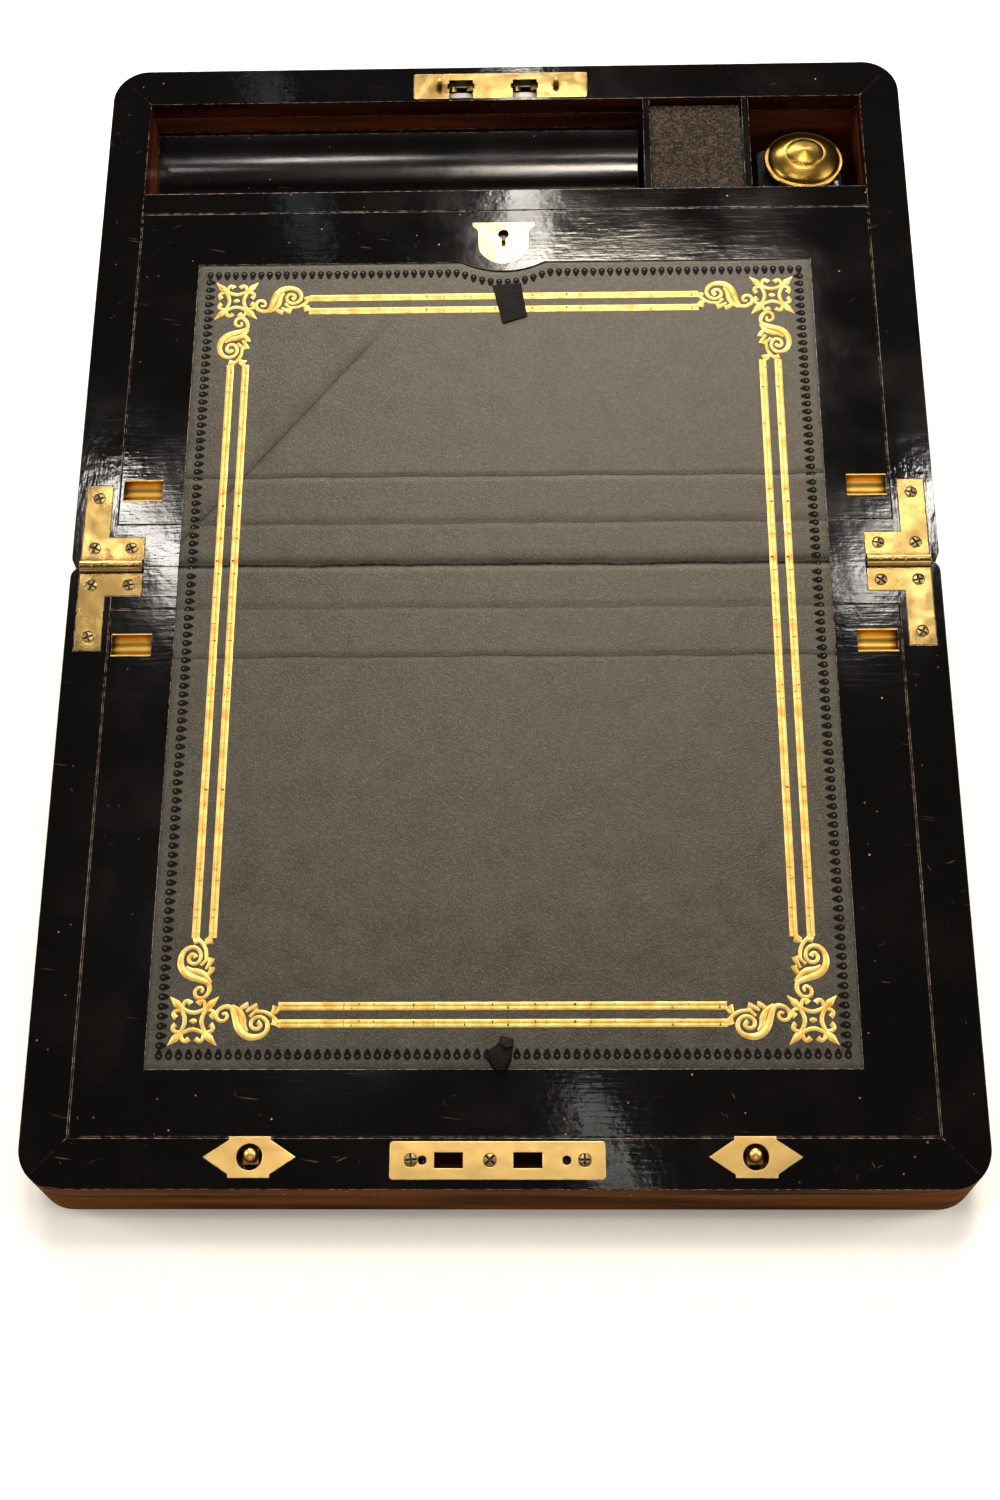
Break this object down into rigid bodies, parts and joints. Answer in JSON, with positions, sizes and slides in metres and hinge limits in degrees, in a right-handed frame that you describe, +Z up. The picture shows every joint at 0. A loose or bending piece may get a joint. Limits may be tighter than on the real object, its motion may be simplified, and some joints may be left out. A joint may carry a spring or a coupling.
{
  "type": "writing slope",
  "caption": "Folding wooden writing slope lying open: sloped leather writing surface on flaps over paper wells, compartments with pen tray and ink bottle, brass hinges, lock and catches.",
  "frame": {"origin": "on the table, under the middle of the seam where the two halves meet", "axes": "+X to the writer's right, +Y away from the writer along the longer way of the open slope, +Z up"},
  "size_m": [0.36, 0.496, 0.12],
  "materials": {
    "ebonised_wood": "ebonised and polished, worn pale at the edges",
    "mahogany": "polished mahogany",
    "leather": "worn dark grey grained leather with a tooled gilt border",
    "brass": "bright worn brass",
    "steel": "dull steel",
    "glass": "clear moulded glass"
  },
  "bodies": {
    "base": {"base_back_wall": "mahogany", "base_bottom": "mahogany", "base_flap_ledges": "mahogany", "base_front_wall": "mahogany", "base_hinge_left": "brass", "base_hinge_right": "brass", "base_leather_strip": "leather", "base_left_wall": "mahogany", "base_rail": "ebonised_wood", "base_right_wall": "mahogany", "base_rim_back": "ebonised_wood", "base_rim_left": "ebonised_wood", "base_rim_right": "ebonised_wood", "base_screws": "brass", "tool_floor": "mahogany", "partition": "mahogany", "crossbar": "ebonised_wood", "dividers": "ebonised_wood", "hinge_pins": "steel", "lock_plate": "brass", "lock_case": "steel", "back_escutcheon": "brass"},
    "lid": {"lid_bottom": "mahogany", "lid_flap_ledges": "mahogany", "lid_hinge_left": "brass", "lid_hinge_right": "brass", "lid_leather_strip": "leather", "lid_left_wall": "mahogany", "lid_lock_plate": "brass", "lid_near_wall": "mahogany", "lid_rail": "ebonised_wood", "lid_right_wall": "mahogany", "lid_rim_left": "ebonised_wood", "lid_rim_near": "ebonised_wood", "lid_rim_right": "ebonised_wood", "lid_screws": "brass", "lid_seam_wall": "mahogany", "catch_plates": "brass"},
    "upper_flap": {"upper_flap": "ebonised_wood", "upper_leather": "leather", "upper_troughs": "brass", "flap_escutcheon": "brass", "flap_lock_case": "steel", "upper_tab": "leather"},
    "flap_bolt": {"flap_lock_bolt": "steel"},
    "lower_flap": {"lower_flap": "ebonised_wood", "lower_leather": "leather", "lower_troughs": "brass", "lower_tab": "leather"},
    "catch_left": {"catch_bolt_left": "brass", "catch_spring_left": "steel"},
    "catch_right": {"catch_bolt_right": "brass", "catch_spring_right": "steel"},
    "hook_left": {"lock_hook_left": "steel"},
    "hook_right": {"lock_hook_right": "steel"},
    "pen_tray": {"pen_tray": "ebonised_wood"},
    "stamp_lid": {"stamp_lid": "leather"},
    "ink_bottle": {"ink_bottle": "glass", "ink_collar": "brass"},
    "ink_cap": {"ink_cap": "brass"}
  },
  "joints": [
    {"name": "lid_hinge", "type": "hinge", "parent": "base", "child": "lid", "pos_m": [0, 0, 0.07373], "axis": [1, 0, 0], "range_deg": [-180, 0]},
    {"name": "upper_flap_hinge", "type": "hinge", "parent": "base", "child": "upper_flap", "pos_m": [0, 0.01906, 0.07679], "axis": [1, 0, 0], "range_deg": [0, 95]},
    {"name": "flap_bolt_slide", "type": "slide", "parent": "upper_flap", "child": "flap_bolt", "axis": [0, 0.9848, 0.1736], "range_m": [0, 0.004]},
    {"name": "lower_flap_hinge", "type": "hinge", "parent": "lid", "child": "lower_flap", "pos_m": [0, -0.01895, 0.07008], "axis": [-1, 0, 0], "range_deg": [0, 95]},
    {"name": "catch_left_slide", "type": "slide", "parent": "lid", "child": "catch_left", "axis": [0, -0.9848, -0.1736], "range_m": [0, 0.0026], "stiffness_N_per_m": 150, "springref_m": -0.002},
    {"name": "catch_right_slide", "type": "slide", "parent": "lid", "child": "catch_right", "axis": [0, -0.9848, -0.1736], "range_m": [0, 0.0026], "stiffness_N_per_m": 150, "springref_m": -0.002},
    {"name": "hook_left_turn", "type": "hinge", "parent": "base", "child": "hook_left", "pos_m": [-0.0235, 0.2385, 0.11131], "axis": [0, -0.9848, -0.1736], "range_deg": [0, 80]},
    {"name": "hook_right_turn", "type": "hinge", "parent": "base", "child": "hook_right", "pos_m": [0.0058, 0.2385, 0.11131], "axis": [0, -0.9848, -0.1736], "range_deg": [0, 80]},
    {"name": "pen_tray_lift", "type": "slide", "parent": "base", "child": "pen_tray", "axis": [0, 0, 1], "range_m": [0, 0.05]},
    {"name": "stamp_lid_lift", "type": "slide", "parent": "base", "child": "stamp_lid", "axis": [0, 0, 1], "range_m": [0, 0.03]},
    {"name": "ink_bottle_lift", "type": "slide", "parent": "base", "child": "ink_bottle", "axis": [0, 0, 1], "range_m": [0, 0.06]},
    {"name": "ink_cap_lift", "type": "slide", "parent": "ink_bottle", "child": "ink_cap", "axis": [0, 0, 1], "range_m": [0, 0.02]}
  ],
  "couplings": [
    {"joint": "hook_right_turn", "follows": "hook_left_turn", "ratio": 1}
  ]
}
